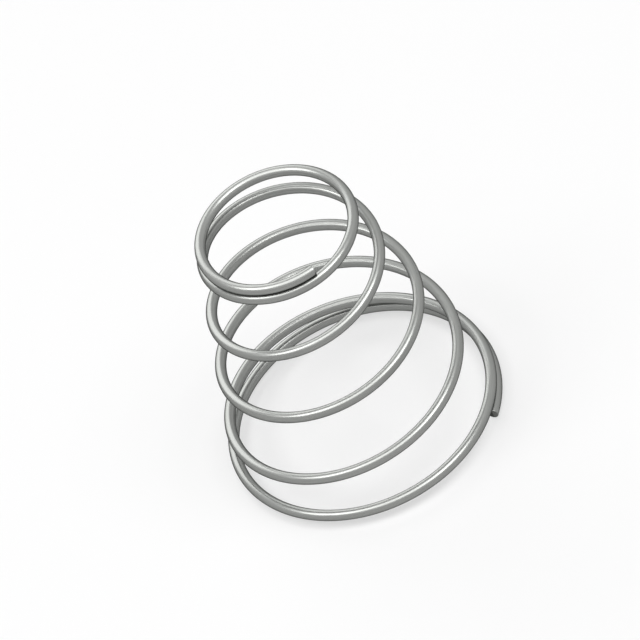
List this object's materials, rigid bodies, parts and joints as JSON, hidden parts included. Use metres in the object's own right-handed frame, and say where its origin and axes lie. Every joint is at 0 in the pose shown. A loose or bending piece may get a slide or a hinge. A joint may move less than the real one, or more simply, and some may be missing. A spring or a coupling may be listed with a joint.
{
  "type": "conical compression spring",
  "caption": "Conical compression spring of round steel wire, with closed unground ends, that narrows from its large end to its small end.",
  "frame": {"origin": "on the coil's axis, in the plane that the large end stands on", "axes": "+Z along the coil's axis from the large end to the small end; the wire's cut at the large end lies 34.2 degrees from +X towards -Y"},
  "size_m": [0.0398, 0.0396, 0.0434],
  "materials": {
    "spring_steel": "drawn spring-steel wire, bright grey, semi-gloss, with faint lengthwise die lines"
  },
  "bodies": {
    "root": {"conical_spring": "spring_steel"}
  },
  "joints": []
}
